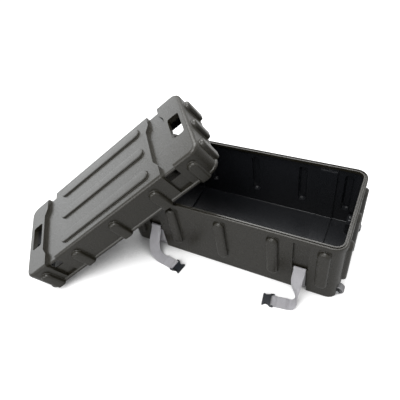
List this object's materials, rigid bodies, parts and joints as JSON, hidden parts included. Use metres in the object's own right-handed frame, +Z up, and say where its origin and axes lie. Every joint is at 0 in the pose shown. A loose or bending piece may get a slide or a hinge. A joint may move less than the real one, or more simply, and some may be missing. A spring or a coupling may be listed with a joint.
{
  "type": "drum hardware case",
  "caption": "Long rotomoulded trunk for drum stands with ribbed walls, a lift-off lid leaning on its rim, webbing straps with side-release buckles and small wheels at one end.",
  "frame": {"origin": "middle of the tub's flat underside", "axes": "+X along the tub towards its wheels, +Y from front to back, +Z up"},
  "size_m": [1.394, 1.1099, 0.5507],
  "materials": {
    "shell": "rotomoulded polyethylene, fine texture",
    "webbing": "woven polypropylene webbing",
    "buckle": "moulded acetal",
    "bracket": "black powder coat on steel",
    "tyre": "grey thermoplastic rubber",
    "core": "moulded nylon",
    "steel": "zinc-plated steel"
  },
  "bodies": {
    "tub": {"base_shell": "shell", "strap_right": "webbing", "strap_left": "webbing", "buckle_socket_right": "buckle", "buckle_socket_left": "buckle", "buckle_plug_right": "buckle", "buckle_plug_left": "buckle", "wheel_bracket_front": "bracket", "bearing_spacer_front": "steel", "axle_bolt_front": "steel", "axle_nut_front": "steel", "rivet_front_1": "steel", "rivet_front_2": "steel", "rivet_front_3": "steel", "rivet_front_4": "steel", "wheel_bracket_rear": "bracket", "bearing_spacer_rear": "steel", "axle_bolt_rear": "steel", "axle_nut_rear": "steel", "rivet_rear_1": "steel", "rivet_rear_2": "steel", "rivet_rear_3": "steel", "rivet_rear_4": "steel"},
    "lid": {"lid_shell": "shell"},
    "wheel_front": {"wheel_tyre_front": "tyre", "wheel_core_front": "core", "wheel_bearing_inner_front": "steel", "wheel_bearing_outer_front": "steel"},
    "wheel_rear": {"wheel_tyre_rear": "tyre", "wheel_core_rear": "core", "wheel_bearing_inner_rear": "steel", "wheel_bearing_outer_rear": "steel"}
  },
  "joints": [
    {"name": "lid_lift", "type": "slide", "parent": "tub", "child": "lid", "axis": [0, 0, 1], "range_m": [0, 0.45]},
    {"name": "wheel_front_spin", "type": "hinge", "parent": "tub", "child": "wheel_front", "pos_m": [0.45, -0.156, 0.027], "axis": [0, 1, 0], "continuous": true},
    {"name": "wheel_rear_spin", "type": "hinge", "parent": "tub", "child": "wheel_rear", "pos_m": [0.45, 0.156, 0.027], "axis": [0, 1, 0], "continuous": true}
  ]
}
